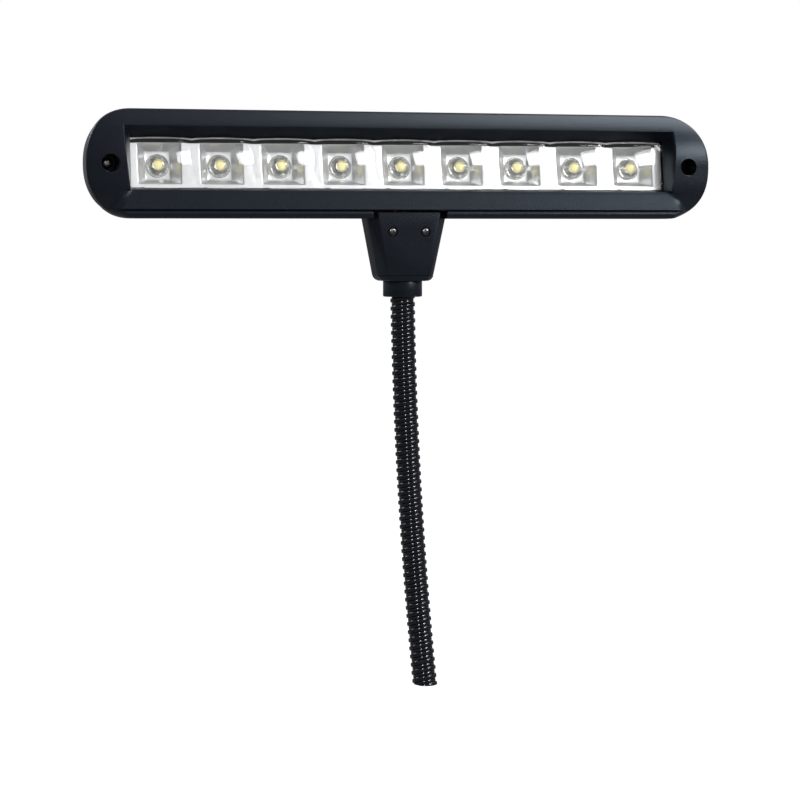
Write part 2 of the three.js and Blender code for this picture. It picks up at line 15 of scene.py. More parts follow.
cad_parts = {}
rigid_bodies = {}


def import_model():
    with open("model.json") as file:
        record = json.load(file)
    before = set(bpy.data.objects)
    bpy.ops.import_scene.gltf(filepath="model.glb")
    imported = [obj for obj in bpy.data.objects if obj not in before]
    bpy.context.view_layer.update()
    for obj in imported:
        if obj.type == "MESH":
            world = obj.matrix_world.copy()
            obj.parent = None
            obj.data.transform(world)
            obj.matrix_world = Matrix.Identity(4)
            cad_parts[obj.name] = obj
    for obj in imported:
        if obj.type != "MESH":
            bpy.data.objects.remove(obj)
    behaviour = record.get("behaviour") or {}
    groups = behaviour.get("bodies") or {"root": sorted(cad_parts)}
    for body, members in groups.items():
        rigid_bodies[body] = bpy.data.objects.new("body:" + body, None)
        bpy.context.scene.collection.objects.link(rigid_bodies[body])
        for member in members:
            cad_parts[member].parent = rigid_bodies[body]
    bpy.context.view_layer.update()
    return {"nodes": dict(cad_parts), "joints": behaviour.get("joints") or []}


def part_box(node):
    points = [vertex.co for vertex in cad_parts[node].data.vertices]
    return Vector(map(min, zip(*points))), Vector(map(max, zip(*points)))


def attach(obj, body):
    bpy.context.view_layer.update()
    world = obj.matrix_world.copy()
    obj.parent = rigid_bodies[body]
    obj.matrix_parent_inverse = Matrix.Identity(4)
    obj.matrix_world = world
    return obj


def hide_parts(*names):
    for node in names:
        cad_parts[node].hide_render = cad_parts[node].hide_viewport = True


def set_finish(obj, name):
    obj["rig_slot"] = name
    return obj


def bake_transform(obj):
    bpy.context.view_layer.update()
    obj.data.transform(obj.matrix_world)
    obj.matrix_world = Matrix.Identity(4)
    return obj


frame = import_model()
scene = bpy.context.scene

MM = 0.001

# ------------------------------------------------------------------ dimensions (mm)

HALF_LENGTH = 132.45
HALF_HEIGHT = 21.9
END_RADIUS = 19.5  # semi-axis of the rounded ends along the bar
END_POWER = 2.22  # the rounded ends are slightly fuller than an ellipse, which has 2
END_CENTRE = HALF_LENGTH - END_RADIUS
CROWN_RADIUS = 32.0  # the bezel's face is part of a cylinder along the bar
CROWN_CENTRE_Y = 20.0
BEZEL_INNER_RADIUS = 29.6
SEAM_RADIUS = 29.3
BACK_Y = 12.0
BACK_ROUND = 7.0
BACK_FLAT_Y = BACK_Y - BACK_ROUND  # where the sides end and the rounding of the back starts
SHELL = 2.2
DRAFT = 0.9  # how far the sides lean in towards the back
SEAM_CHAMFER = 0.25
OUTLINE_STRAIGHT = 16  # steps along each straight side of the bar's outline
OUTLINE_BEND = 40  # steps round each end of it

TILT = math.radians(8.5)
CHIN = 3.4  # how much further forward the face is at its lower edge than at its upper one
LENS_FACE = 5.0  # height of the lens plane in front of the neck's axis, at mid-height
WINDOW_X = 113.9
WINDOW_TOP = 10.8
WINDOW_BOTTOM = -9.7
REVEAL_TOP = 15.0  # where the top reveal meets the crown
RAMP_TOP = -10.7

LIP_FOOT = -18.5  # the lip's ends turn inwards below this height
LIP_BLEND = 6.0  # length over which the lip's ends run out into the crown
BEAD_TOP = -18.55
BEAD = (-20.05, 11.1, 1.7)  # height in z, distance in front and radius of the rolled bead
BEAD_SWELL = 1.2

BEZEL_SCREW_X = 122.9
BORE_RADIUS = 3.55
COVER_SCREW = (6.98, -27.2)  # x and z

LED_COUNT = 9
LED_PITCH = 25.4
CUP_OPENING = (8.6, 8.0)  # half sizes in x and z
CUP_FLOOR = (4.85, 5.7)
CUP_DEPTH = 5.3
CUP_WALL = 0.8
REFLECTOR_HALF = 114.2
REFLECTOR_BOTTOM = -9.7
LED_BASE = 5.58  # how far behind the reflector's face the LEDs stand
LENS_CAP = 2.1
LENS_SPHERE = 38.0
LENS_ROLL = 9.1  # where the lens starts to curve back towards its upper edge
LENS_ROLL_ARCH = 0.5  # how much lower it starts between two LEDs
LENS_ROLL_DEPTH = 1.85
LENS_ROLL_WIDTH = 1.6
LENS_THICKNESS = 2.2
LENS_FRONT_Y = -4.497
LENS_BACK_SHARE = 0.88  # how much of the front's swell the back follows

NECK_TOP = -18.9
NECK_BOTTOM = -47.5
NECK_HALF_TOP = 17.6
NECK_HALF_BOTTOM = 11.4
NECK_CHAMFER = 4.2
LIP_LINE = -45.4  # top of the housing's lower lip, just under the cover
COVER_FACE_LOW = -42.0  # the cover's front slopes back below this
COLLAR_TOP = -47.53
COLLAR_SHELF = -49.9  # the collar's wide bore ends here
COLLAR_BOTTOM = -54.1
COLLAR_RADIUS = 8.13
THROAT_RADIUS = 4.3
NECK_RISE = 159.7
LEAN_SIDE = 9.25  # how far the foot lies to the side of the head
LEAN_FRONT = 15.5  # and how far in front of it
LEAN_HEADING = math.radians(16)
STRAIGHT_SHARE = 0.27  # share of the sideways lean that is straight; the rest is a bend
COIL_PITCH = 3.36
SAMPLES_PER_TURN = 56
BLEND_MARGIN = 1.2  # length in from each end of a piece of winding that spans a hinge

# ------------------------------------------------------------------ places

bezel_low, bezel_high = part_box("front_bezel")
HEAD = Matrix.Translation((
    (bezel_low[0] + bezel_high[0]) / 2,
    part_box("rear_housing")[1][1] - BACK_Y * MM,
    (bezel_low[2] + bezel_high[2]) / 2)) @ Matrix.Scale(MM, 4)
OPTICS = HEAD @ Matrix.Translation((0, -0.15, 0)) @ Matrix.Rotation(-TILT, 4, "X")
ROW = Matrix.Scale(MM, 4)  # the gooseneck is drawn from its foot, at the origin


# ------------------------------------------------------------------ mesh tools

def new_object(name, vertices, faces):
    mesh = bpy.data.meshes.new(name)
    mesh.from_pydata([tuple(map(float, v)) for v in vertices], [], faces)
    obj = bpy.data.objects.new(name, mesh)
    scene.collection.objects.link(obj)
    tidy_normals(obj)
    return obj


def tidy_normals(obj):
    bm = bmesh.new()
    bm.from_mesh(obj.data)
    bmesh.ops.recalc_face_normals(bm, faces=bm.faces)
    bm.to_mesh(obj.data)
    bm.free()


def carve(obj, tool, operation="DIFFERENCE"):
    """obj cut by, or joined to, tool, which is used up."""
    modifier = obj.modifiers.new("carve", "BOOLEAN")
    modifier.operation = operation
    modifier.solver = "EXACT"
    modifier.object = tool
    bpy.context.view_layer.update()
    mesh = bpy.data.meshes.new_from_object(obj.evaluated_get(bpy.context.evaluated_depsgraph_get()))
    obj.modifiers.clear()
    obj.data = mesh
    bpy.data.objects.remove(tool)
    return obj


def place(obj, matrix, sharp=32.0):
    """Carries a finished shape to the frame and shades it smooth up to the sharp angle."""
    obj.data.transform(matrix)
    obj.data.shade_smooth()
    obj.data.set_sharp_from_angle(angle=math.radians(sharp))
    return obj


def merge(name, objects):
    """One object from several closed ones, which may touch but aren't welded."""
    bm = bmesh.new()
    for obj in objects:
        bm.from_mesh(obj.data)
    mesh = bpy.data.meshes.new(name)
    bm.to_mesh(mesh)
    bm.free()
    for obj in objects:
        bpy.data.objects.remove(obj)
    merged = bpy.data.objects.new(name, mesh)
    scene.collection.objects.link(merged)
    return merged


def hull(name, points, bevel=0.0, segments=4):
    """The convex hull of some points, with its edges rounded by bevel."""
    bm = bmesh.new()
    for point in points:
        bm.verts.new(point)
    bmesh.ops.convex_hull(bm, input=bm.verts)
    loose = [v for v in bm.verts if not v.link_faces]
    bmesh.ops.delete(bm, geom=loose, context="VERTS")
    bmesh.ops.dissolve_limit(bm, angle_limit=math.radians(1), verts=bm.verts, edges=bm.edges)
    if bevel:
        bmesh.ops.bevel(bm, geom=list(bm.edges), offset=bevel, offset_type="OFFSET",
                        segments=segments, profile=0.5, affect="EDGES", clamp_overlap=True)
    bmesh.ops.recalc_face_normals(bm, faces=bm.faces)
    mesh = bpy.data.meshes.new(name)
    bm.to_mesh(mesh)
    bm.free()
    obj = bpy.data.objects.new(name, mesh)
    scene.collection.objects.link(obj)
    return obj


def lathe(name, profile, sides=64):
    """A solid of revolution about z from (radius, z) points. It is a ring if the profile is
    closed away from the axis, and a full body if both of its ends lie on the axis."""
    vertices, faces, rings = [], [], []
    for radius, z in profile:
        if radius < 1e-6:
            rings.append([len(vertices)] * sides)
            vertices.append((0, 0, z))
            continue
        rings.append([len(vertices) + i for i in range(sides)])
        for i in range(sides):
            angle = 2 * math.pi * i / sides
            vertices.append((radius * math.cos(angle), radius * math.sin(angle), z))
    solid = profile[0][0] < 1e-6 and profile[-1][0] < 1e-6
    for k in range(len(rings) - (1 if solid else 0)):
        a, b = rings[k], rings[(k + 1) % len(rings)]
        for i in range(sides):
            j = (i + 1) % sides
            corners = list(dict.fromkeys([a[i], a[j], b[j], b[i]]))
            if len(corners) > 2:
                faces.append(corners)
    return new_object(name, vertices, faces)


TO_FRONT = Matrix.Rotation(math.radians(90), 4, "X")  # turns a lathe's +z to -y


def peg(name, radius, y_front, y_back, x=0.0, z=0.0, sides=48):
    """A round bar along y, to cut with or to join on."""
    length = y_back - y_front
    profile = [(0, 0), (radius, 0), (radius, length), (0, length)]
    obj = lathe(name, profile, sides)
    obj.data.transform(Matrix.Translation((x, y_back, z)) @ TO_FRONT)
    return obj


def sheet(name, rows, columns, front, back, is_hole=None):
    """A closed shell over a grid in x and z: front(x, z) and back(x, z, front) give y, and cells
    whose middle is_hole(x, z) picks out are left open."""
    z = np.array(rows, float)
    x = np.array([columns(value) for value in rows], float)
    z = np.repeat(z[:, None], x.shape[1], axis=1)
    y_front = front(x, z)
    y_back = back(x, z, y_front)
    row_count, column_count = x.shape
    count = row_count * column_count
    vertices = np.concatenate([
        np.stack([x, y_front, z], -1).reshape(-1, 3), np.stack([x, y_back, z], -1).reshape(-1, 3)])
    middle_x = (x[:-1, :-1] + x[1:, 1:] + x[:-1, 1:] + x[1:, :-1]) / 4
    middle_z = (z[:-1, :-1] + z[1:, 1:]) / 2
    middle_y = front(middle_x, middle_z)
    kept = np.ones_like(middle_x, bool)
    if is_hole is not None:
        kept &= ~is_hole(middle_x, middle_z)
    rising = np.abs((y_front[:-1, :-1] + y_front[1:, 1:]) / 2 - middle_y)
    falling = np.abs((y_front[:-1, 1:] + y_front[1:, :-1]) / 2 - middle_y)
    faces = []
    for i in range(row_count - 1):
        for j in range(column_count - 1):
            if not kept[i, j]:
                continue
            a = i * column_count + j
            b, c, d = a + 1, a + column_count + 1, a + column_count
            if rising[i, j] <= falling[i, j]:
                triangles = [(a, b, c), (a, c, d)]
            else:
                triangles = [(a, b, d), (b, c, d)]
            faces += triangles
            faces += [(p + count, r + count, q + count) for p, q, r in triangles]
            borders = [((i - 1, j), a, b), ((i + 1, j), c, d), ((i, j - 1), d, a), ((i, j + 1), b, c)]
            for (m, n), p, q in borders:
                outside = not (0 <= m < row_count - 1 and 0 <= n < column_count - 1)
                if outside or not kept[m, n]:
                    faces.append((q, p, p + count, q + count))
    return new_object(name, vertices, faces)


def smooth_min(a, b, k):
    h = np.clip(0.5 + 0.5 * (b - a) / k, 0, 1)
    return b + (a - b) * h - k * h * (1 - h)


def smooth_max(a, b, k):
    return -smooth_min(-a, -b, k)


def ease(value):
    value = np.clip(value, 0, 1)
    return value * value * (3 - 2 * value)


# ------------------------------------------------------------------ front bezel
# Heights are measured forwards, so a height h lies at y = -h.

def crown_height(z, radius=CROWN_RADIUS):
    return -CROWN_CENTRE_Y + np.sqrt(np.maximum(radius * radius - z * z, 0))


def lens_height(z):
    return LENS_FACE - z * math.tan(TILT)


def rim_x(z):
    """Where the window's side wall meets the crown."""
    return 116.4 + 0.1168 * z - 0.004807 * z * z


def lip_x(z):
    """Where the lower lip ends."""
    widening = 0.64 * np.clip(RAMP_TOP - z, 0, RAMP_TOP - LIP_FOOT)
    return 113.4 + widening - 1.1 * np.maximum(LIP_FOOT - z, 0)


# Points (z, height) from the groove over the bead, round the lip's edge, up the ramp and over the
# window to the crown.
LIP_PROFILE = [(BEAD_TOP, 11.6), (-18.45, 12.1), (-18.33, 12.42), (-18.1, 12.6), (-17.85, 12.58),
               (-17.5, 12.44), (RAMP_TOP - 0.25, 10.22), (RAMP_TOP, 10.06), (RAMP_TOP + 0.2, 9.6),
               (WINDOW_BOTTOM, 6.45), (WINDOW_TOP, 3.386), (REVEAL_TOP, 8.27)]

def section_height(z):
    """Height of the window's and lip's section in the middle of the bar."""
    height = np.interp(z, [p[0] for p in LIP_PROFILE], [p[1] for p in LIP_PROFILE])
    centre_z, centre_h, radius = BEAD
    bead = centre_h + BEAD_SWELL * np.sqrt(np.maximum(1 - ((z - centre_z) / radius) ** 2, 0))
    return np.where(z < BEAD_TOP - 0.001, bead, height)


def edge_distance(x, z):
    """Roughly how far a point is inside the bar's outline."""
    along = np.maximum(np.abs(x) - END_CENTRE, 0) / END_RADIUS
    across = np.abs(z) / HALF_HEIGHT
    rho = np.maximum((along ** END_POWER + across ** END_POWER) ** (1 / END_POWER), 1e-6)
    power = END_POWER - 1
    slope = np.sqrt((along ** power / END_RADIUS) ** 2 + (across ** power / HALF_HEIGHT) ** 2)
    slope /= rho ** power
    at_end = (1 - rho) / np.maximum(slope, 1e-6)
    return np.where(np.abs(x) <= END_CENTRE, HALF_HEIGHT - np.abs(z), at_end)


def end_drop(x):
    """How far the face falls away towards the rounded ends."""
    return 1.2 * (np.maximum(np.abs(x) - END_CENTRE, 0) / END_RADIUS) ** 2.5


def bezel_height(x, z):
    ax = np.abs(x)
    crown = crown_height(z) - end_drop(x) + CHIN * ease(-z / HALF_HEIGHT)
    rise = crown_height(z) - lens_height(z)
    side = lens_height(z) + rise * (ax - WINDOW_X) / (rim_x(z) - WINDOW_X)
    window = smooth_max(section_height(z), side, 0.25)
    upper = smooth_min(crown, window, 0.35)
    in_lip = ease((lip_x(z) + LIP_BLEND - ax) / LIP_BLEND)
    lower = crown + (section_height(z) - crown) * in_lip
    upper = np.where(z > REVEAL_TOP + 0.5, crown, upper)
    height = np.where(z < RAMP_TOP, lower, upper)
    lip_share = np.where(z < -17.8, in_lip, 0)
    radius = 0.8 - 0.65 * lip_share
    inside = np.clip(edge_distance(x, z), 0, radius)
    return height - (radius - np.sqrt(np.maximum(radius ** 2 - (radius - inside) ** 2, 0)))


def bezel_front(x, z):
    return -bezel_height(x, z)


def bezel_back(x, z, y_front):
    shell = np.maximum(y_front + 2.0, -crown_height(z, BEZEL_INNER_RADIUS))
    near_lens = (np.abs(x) < 116.3) & (z < 12.0) & (z > -12.0)
    lens_limit = -lens_height(z) + 0.2
    thinned = np.maximum(y_front + 0.25, np.minimum(y_front + 2.0, lens_limit))
    return np.where(near_lens, thinned, shell)


def bezel_columns(z):
    """Grid places in x for one row, crowded where the shape turns."""
    share = max(0.0, 1 - (abs(z) / HALF_HEIGHT) ** END_POWER) ** (1 / END_POWER)
    outer = END_CENTRE + END_RADIUS * share
    if z < RAMP_TOP:
        foot, rim = lip_x(z), lip_x(z) + LIP_BLEND
    elif z < WINDOW_BOTTOM:
        share = (z - RAMP_TOP) / (WINDOW_BOTTOM - RAMP_TOP)
        foot = lip_x(RAMP_TOP) + (WINDOW_X - lip_x(RAMP_TOP)) * share
        rim = rim_x(z) + (lip_x(RAMP_TOP) + LIP_BLEND - rim_x(RAMP_TOP)) * (1 - share)
    else:
        share = min(1.0, max(0.0, (z - WINDOW_TOP) / (REVEAL_TOP - WINDOW_TOP)))
        foot = WINDOW_X + (rim_x(REVEAL_TOP) - 0.3 - WINDOW_X) * share
        rim = rim_x(min(z, REVEAL_TOP))
    rim = min(rim, outer - 2.0)
    foot = min(foot, rim - 0.25)
    inner = [0, 0.15, 0.3, 0.45, 0.6, 0.72, 0.82, 0.9, 0.95, 0.98]
    half = [(foot - 0.5) * f for f in inner] + [foot - 0.5, foot - 0.25, foot - 0.1]
    half += [foot + (rim - foot) * f for f in (0, 0.12, 0.3, 0.5, 0.7, 0.88, 1)]
    half += [rim + 0.1, rim + 0.25, rim + 0.5]
    start, end = rim + 0.5, outer - 0.9
    flat = (0.06, 0.14, 0.24, 0.36, 0.48, 0.6, 0.72, 0.84, 0.93, 1)
    half += [start + (end - start) * f for f in flat]
    half += [outer - d for d in (0.7, 0.52, 0.37, 0.25, 0.15, 0.07, 0.02, 0)]
    return [-v for v in reversed(half[1:])] + half


def bezel_rows():
    """Grid places in z, crowded at the edges of the window, lip and bead."""
    bead_edge = round(BEAD_TOP - 0.002, 3)
    ramp_edge = round(RAMP_TOP - 0.01, 3)
    profile_rows = {p[0] for p in LIP_PROFILE}
    rows = {round(HALF_HEIGHT * math.sin(math.radians(a)), 3) for a in range(-90, 91, 3)}
    rows |= {round(HALF_HEIGHT - d, 3) for d in (0.02, 0.07, 0.15, 0.25, 0.37, 0.52, 0.7, 0.9)}
    rows |= {WINDOW_TOP, WINDOW_BOTTOM, RAMP_TOP, REVEAL_TOP}
    rows |= {round(REVEAL_TOP + d, 3) for d in (-0.3, -0.15, -0.07, 0.07, 0.15, 0.3, 0.5)}
    rows |= {round(WINDOW_TOP + d, 3) for d in (-0.12, 0.12)} | profile_rows
    rows |= {ramp_edge, round(RAMP_TOP - 0.12, 3), bead_edge}
    rows |= {round(BEAD[0] + BEAD[2] * math.cos(math.radians(a)), 3) for a in range(14, 181, 10)}
    rows = sorted(rows)
    thinned = [rows[0]]
    for value in rows[1:]:
        fixed = value in profile_rows or value in (bead_edge, ramp_edge, HALF_HEIGHT)
        if value - thinned[-1] > 0.03 or fixed:
            thinned.append(value)
    return thinned


def make_bezel():
    bezel = sheet("bezel_shell", bezel_rows(), bezel_columns, bezel_front, bezel_back,
                  lambda x, z: (np.abs(x) < WINDOW_X - 0.02) & (z > WINDOW_BOTTOM) & (z < WINDOW_TOP))
    bosses = []
    for x in (-BEZEL_SCREW_X, BEZEL_SCREW_X):
        bore = lathe("counterbore", [
            (0, -4), (BORE_RADIUS, -4), (BORE_RADIUS, 11.55), (3.75, 11.75), (4.4, 12.4), (4.4, 16),
            (0, 16)], 72)
        bore.data.transform(Matrix.Translation((x, 0, 0)) @ TO_FRONT)
        carve(bezel, bore)
        boss = lathe("boss", [
            (1.7, -0.6), (5, -0.6), (5, 10.6), (BORE_RADIUS, 10.6), (BORE_RADIUS, 1.05), (3.4, 0.9),
            (1.7, 0.9)], 72)
        boss.data.transform(Matrix.Translation((x, 0, 0)) @ TO_FRONT)
        bosses.append(boss)
    gap, low = 0.3, -25.0
    notch = []
    for inset, y in ((0, 6), (0, -5.4), (2.4, -10.3), (2.4, -14)):
        notch.append((neck_half(NECK_TOP) - inset + gap, y, NECK_TOP + gap))
        notch.append((neck_half(low) - inset + gap, y, low))
    carve(bezel, hull("notch", both(notch)))
    return place(merge("bezel_shell", [bezel] + bosses), HEAD, 34)


# ------------------------------------------------------------------ rear housing and neck

def outline(inset):
    """The bar's outline: up the right end, leftwards along the top, down the left end and back."""
    a, b = END_RADIUS - inset, HALF_HEIGHT - inset
    turns = [math.pi * i / OUTLINE_BEND - math.pi / 2 for i in range(OUTLINE_BEND + 1)]
    arc = [(END_CENTRE + a * max(0.0, math.cos(t)) ** (2 / END_POWER),
            math.copysign(b * abs(math.sin(t)) ** (2 / END_POWER), t)) for t in turns]
    along = [END_CENTRE - 2 * END_CENTRE * i / OUTLINE_STRAIGHT for i in range(1, OUTLINE_STRAIGHT)]
    return (arc + [(x, b) for x in along]
            + [(-x, z) for x, z in reversed(arc)] + [(-x, -b) for x in along])


def outline_ring(inset, y):
    return [(x, y, z) for x, z in outline(inset)]


def seam_ring(inset, behind=0.0):
    """The outline laid on the seam between bezel and housing."""
    return [(x, -crown_height(z, SEAM_RADIUS) + behind, z) for x, z in outline(inset)]


def cap_faces(base, flip):
    """Quads across one ring of the outline, whose first vertex is base."""
    order = [base + i for i in range(len(outline(0)))]
    right = order[:OUTLINE_BEND + 1]
    top = order[OUTLINE_BEND + 1:OUTLINE_BEND + OUTLINE_STRAIGHT]
    left = order[OUTLINE_BEND + OUTLINE_STRAIGHT:2 * OUTLINE_BEND + OUTLINE_STRAIGHT + 1]
    bottom = order[2 * OUTLINE_BEND + OUTLINE_STRAIGHT + 1:]
    half = OUTLINE_BEND // 2
    upper = right[half + 1:] + top + left[:half]
    lower = right[:half][::-1] + bottom[::-1] + left[half + 1:][::-1]
    strip = [(right[half],)] + list(zip(upper, lower)) + [(left[half],)]
    quads = [(*one, *reversed(two)) for one, two in zip(strip, strip[1:])]
    return [tuple(reversed(quad)) for quad in quads] if flip else quads


def make_housing_shell():
    """The back shell: the seam, the sides, the rounded back, and the same again inside."""
    turns = 10
    outer = [seam_ring(SEAM_CHAMFER), seam_ring(0, SEAM_CHAMFER), outline_ring(DRAFT, BACK_FLAT_Y)]
    for i in range(1, turns + 1):
        angle = math.pi / 2 * i / turns
        inset = DRAFT + BACK_ROUND * (1 - math.cos(angle))
        outer.append(outline_ring(inset, BACK_FLAT_Y + BACK_ROUND * math.sin(angle)))
    inner = []
    inner_round = BACK_ROUND - SHELL
    for i in range(turns, -1, -2):
        angle = math.pi / 2 * i / turns
        inset = DRAFT + SHELL + inner_round * (1 - math.cos(angle))
        inner.append(outline_ring(inset, BACK_FLAT_Y + inner_round * math.sin(angle)))
    inner.append(seam_ring(SHELL))
    rings = outer + inner
    count = len(rings[0])
    vertices = [point for ring in rings for point in ring]
    faces = cap_faces((len(outer) - 1) * count, False) + cap_faces(len(outer) * count, True)
    for k in range(len(rings)):
        if k == len(outer) - 1:
            continue  # the back's two faces are capped, not joined
        first, second = k * count, (k + 1) % len(rings) * count
        for i in range(count):
            j = (i + 1) % count
            faces.append((first + i, first + j, second + j, second + i))
    return new_object("housing_shell", vertices, faces)


def neck_half(z):
    """Half the neck housing's width at a height."""
    return NECK_HALF_TOP + (NECK_TOP - z) * (NECK_HALF_BOTTOM - NECK_HALF_TOP) / (NECK_TOP - NECK_BOTTOM)


def both(points):
    """Points on the right together with their mirror images on the left."""
    return [(side * x, y, z) for side in (-1, 1) for x, y, z in points]


def foot_corner(y, inset=0.0):
    """The rounded lower corner of the neck housing at one depth."""
    z, radius = NECK_BOTTOM, 1.9
    return [(neck_half(z + radius) - inset, y, z + radius), (neck_half(z) - 0.55 - inset, y, z + 0.6),
            (neck_half(z) - radius - inset, y, z)]


def make_neck_block():
    """The back half of the neck housing, hollow, with the lip that closes it below the cover."""
    top, bottom = NECK_TOP, NECK_BOTTOM
    low_face = bottom + 5.1
    block = hull("neck_block", both(foot_corner(-5) + foot_corner(5) + [
        (neck_half(top), -5, top + 3), (neck_half(top), 5, top + 3),
        (neck_half(top) - NECK_CHAMFER, 10.1, top + 3),
        (neck_half(low_face) - NECK_CHAMFER, 10.1, low_face)]), 0.8)
    lip = hull("neck_lip", both(foot_corner(4) + foot_corner(-5.6, 0.1) + foot_corner(-8.8, 2.6) + [
        (neck_half(LIP_LINE), 4, LIP_LINE), (neck_half(LIP_LINE) - 0.1, -5.6, LIP_LINE),
        (neck_half(LIP_LINE) - 2.6, -8.9, LIP_LINE)]), 0.4, 5)
    carve(block, lip, "UNION")
    carve(block, hull("neck_inside", both([
        (neck_half(top) - 2, -20, top + 6), (neck_half(bottom + 2) - 2, -20, bottom + 2.4),
        (neck_half(top) - 2, 5, top + 6), (neck_half(bottom + 2) - 2, 5, bottom + 2.4),
        (neck_half(top) - 5.6, 8.1, top + 6), (neck_half(low_face) - 5.6, 8.1, low_face)])))
    return block


def make_housing():
    housing = make_housing_shell()
    carve(housing, make_neck_block(), "UNION")
    carve(housing, hull("throat", both([(9, -5.5, -15), (9, -5.5, -24), (9, 6.5, -15), (9, 6.5, -24)])))
    for x in (-BEZEL_SCREW_X, BEZEL_SCREW_X):
        carve(housing, peg("post", 4.0, 0.9, BACK_Y - 1, x), "UNION")
        carve(housing, peg("post_hole", 1.7, 0.2, BACK_Y - 2.5, x, sides=32))
    for x in (-COVER_SCREW[0], COVER_SCREW[0]):
        carve(housing, peg("post", 2.6, -4, 9.1, x, COVER_SCREW[1], 32), "UNION")
        carve(housing, peg("post_hole", 1.2, -6, 7.1, x, COVER_SCREW[1], 24))
    low, high = NECK_BOTTOM - 1, NECK_BOTTOM + 3
    carve(housing, lathe("bore", [(0, low), (THROAT_RADIUS, low), (THROAT_RADIUS, high), (0, high)], 48))
    return place(housing, HEAD, 32)


def make_cover():
    top, bottom, face = NECK_TOP, LIP_LINE + 0.03, COVER_FACE_LOW
    cover = hull("cover_shell", both([
        (neck_half(top), -5.03, top), (neck_half(bottom), -5.03, bottom),
        (neck_half(top) - NECK_CHAMFER, -10.1, top), (neck_half(face) - 2.9, -10.1, face),
        (neck_half(bottom) - 2.4, -8.9, bottom)]), 0.45, 5)
    carve(cover, hull("cover_inside", both([
        (neck_half(top) - 2, -5.0, top - 1.5), (neck_half(bottom) - 2, -5.0, bottom + 1.5),
        (neck_half(top) - 5.2, -8.1, top - 1.5), (neck_half(face) - 5.2, -8.1, face + 1.5)])))
    for x in (-COVER_SCREW[0], COVER_SCREW[0]):
        carve(cover, peg("pad", 2.7, -9.0, -5.4, x, COVER_SCREW[1]), "UNION")
    for x in (-COVER_SCREW[0], COVER_SCREW[0]):
        carve(cover, peg("counterbore", 2.1, -12, -9.2, x, COVER_SCREW[1], 64))
        carve(cover, peg("hole", 1.3, -12, 0, x, COVER_SCREW[1], 24))
    return place(cover, HEAD, 34)


# ------------------------------------------------------------------ screws

def make_screw(name, head, height, shank, length, x, seat_y, z, turn):
    """A pan-head screw with a cross recess, its head's underside at seat_y."""
    rise = [(0, height), (head * 0.35, height - 0.02), (head * 0.62, height * 0.95),
            (head * 0.82, height * 0.84), (head * 0.94, height * 0.66), (head, height * 0.42),
            (head, height * 0.06), (head * 0.97, 0)]
    screw = lathe(name, rise + [(shank, 0), (shank, shank - length), (0, -length)], 56)
    arm, slot = head * 0.6, head * 0.13
    for half_x, half_y in ((arm, slot), (slot, arm)):
        wide = [(sx * half_x, sy * half_y, height + 0.3) for sx in (-1, 1) for sy in (-1, 1)]
        narrow = [(sx * half_x * 0.5, sy * half_y * 0.6, height * 0.32)
                  for sx in (-1, 1) for sy in (-1, 1)]
        carve(screw, hull("slot", wide + narrow))
    spin = Matrix.Rotation(math.radians(turn), 4, "Z")
    screw.data.transform(Matrix.Translation((x, seat_y, z)) @ TO_FRONT @ spin)
    return place(screw, HEAD, 28)


# ------------------------------------------------------------------ optics

def led_x(index):
    return (index - (LED_COUNT - 1) / 2) * LED_PITCH


def from_nearest_led(x):
    """How far to the side of the nearest LED a place is."""
    last = (LED_COUNT - 1) // 2
    return np.abs(x - np.clip(np.round(x / LED_PITCH), -last, last) * LED_PITCH)


# Grid places on a cup's walls, from its opening (0) to its floor (1).
CUP_STEPS = (-0.12, -0.08, -0.04, 0, 0.04, 0.08, 0.12, 0.25, 0.4, 0.55, 0.7, 0.85, 0.92, 0.96, 1.0, 1.04)


def cup_depth(x, z):
    """How far the mirrored strip lies behind its front plane."""
    dx = from_nearest_led(x)
    share_x = (CUP_OPENING[0] - dx) / (CUP_OPENING[0] - CUP_FLOOR[0])
    share_z = (CUP_OPENING[1] - np.abs(z)) / (CUP_OPENING[1] - CUP_FLOOR[1])
    share = np.minimum(share_x, share_z)
    soft = 0.1
    lower = np.where(share < -soft, 0, np.where(share > soft, share, (share + soft) ** 2 / (4 * soft)))
    return CUP_DEPTH * smooth_min(lower, np.ones_like(lower), 0.05)


def make_reflector():
    half_x, half_z = ([opening - (opening - base) * step for step in CUP_STEPS]
                      for opening, base in zip(CUP_OPENING, CUP_FLOOR))
    cell = sorted([-v for v in half_x] + half_x + [-3.2, -1.6, 0, 1.6, 3.2])
    ends = [REFLECTOR_HALF - d for d in (0, 0.6, 1.8)]
    columns = [-v for v in ends] + ends + [led_x(i) + v for i in range(LED_COUNT) for v in cell]
    columns.sort()
    rows = [REFLECTOR_BOTTOM + d for d in (0, 0.4, 0.9)]
    rows = sorted(rows + [-v for v in half_z] + half_z + [-3.8, -1.9, 0, 1.9, 3.8])
    strip = sheet("reflector", rows, lambda z: columns, cup_depth,
                  lambda x, z, y: np.minimum(y + CUP_WALL, CUP_DEPTH + 0.22))
    for i in range(LED_COUNT):
        carve(strip, peg("led_hole", 4.62, 3.5, 7, led_x(i), sides=64))
    return place(strip, OPTICS, 40)


